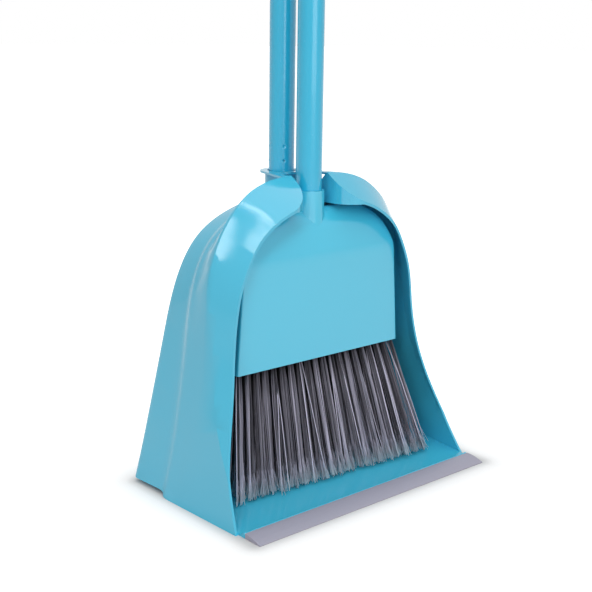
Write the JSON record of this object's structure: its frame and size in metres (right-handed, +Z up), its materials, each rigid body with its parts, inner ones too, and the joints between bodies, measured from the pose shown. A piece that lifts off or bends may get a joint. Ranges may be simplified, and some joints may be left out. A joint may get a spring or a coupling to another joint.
{
  "type": "dust pan and brush set",
  "caption": "Upright hooded dust pan on a tall tube handle, with a wide long-handled brush nested in the hood and pulled out forwards.",
  "frame": {"origin": "on the floor, under the centre of the set's bounding box", "axes": "+Z up along the two handles; the pan's mouth and lip face -Y, the way the brush pulls out; X = 0 is the plane of symmetry"},
  "size_m": [0.272, 0.1672, 0.86],
  "materials": {
    "pan_moulding": "satin moulded polypropylene, turquoise",
    "lip_rubber": "soft grey strip with a dull sheen",
    "coated_steel": "thin steel tube in a glossy turquoise coating",
    "plug_plastic": "dull moulded plastic, dark turquoise",
    "grip_plastic": "satin moulded plastic, turquoise",
    "brush_moulding": "satin moulded polypropylene, turquoise",
    "block_plastic": "dull moulded plastic, dark turquoise",
    "bristle_filament": "grey plastic filament with pale flagged tips",
    "staple_wire": "bright flat wire"
  },
  "bodies": {
    "pan": {"pan_shell": "pan_moulding", "pan_lip": "lip_rubber", "pan_handle_tube": "coated_steel", "pan_handle_plug": "plug_plastic", "pan_handle_grip": "grip_plastic", "handle_clip": "grip_plastic"},
    "brush": {"brush_hood": "brush_moulding", "bristle_block": "block_plastic", "bristle_row_1": "bristle_filament", "bristle_row_2": "bristle_filament", "bristle_row_3": "bristle_filament", "bristle_row_4": "bristle_filament", "tuft_staples": "staple_wire", "brush_handle_tube": "coated_steel", "brush_handle_plug": "plug_plastic", "brush_handle_grip": "grip_plastic"}
  },
  "joints": [
    {"name": "brush_pull_out", "type": "slide", "parent": "pan", "child": "brush", "axis": [0, -1, 0], "range_m": [0, 0.3]}
  ]
}
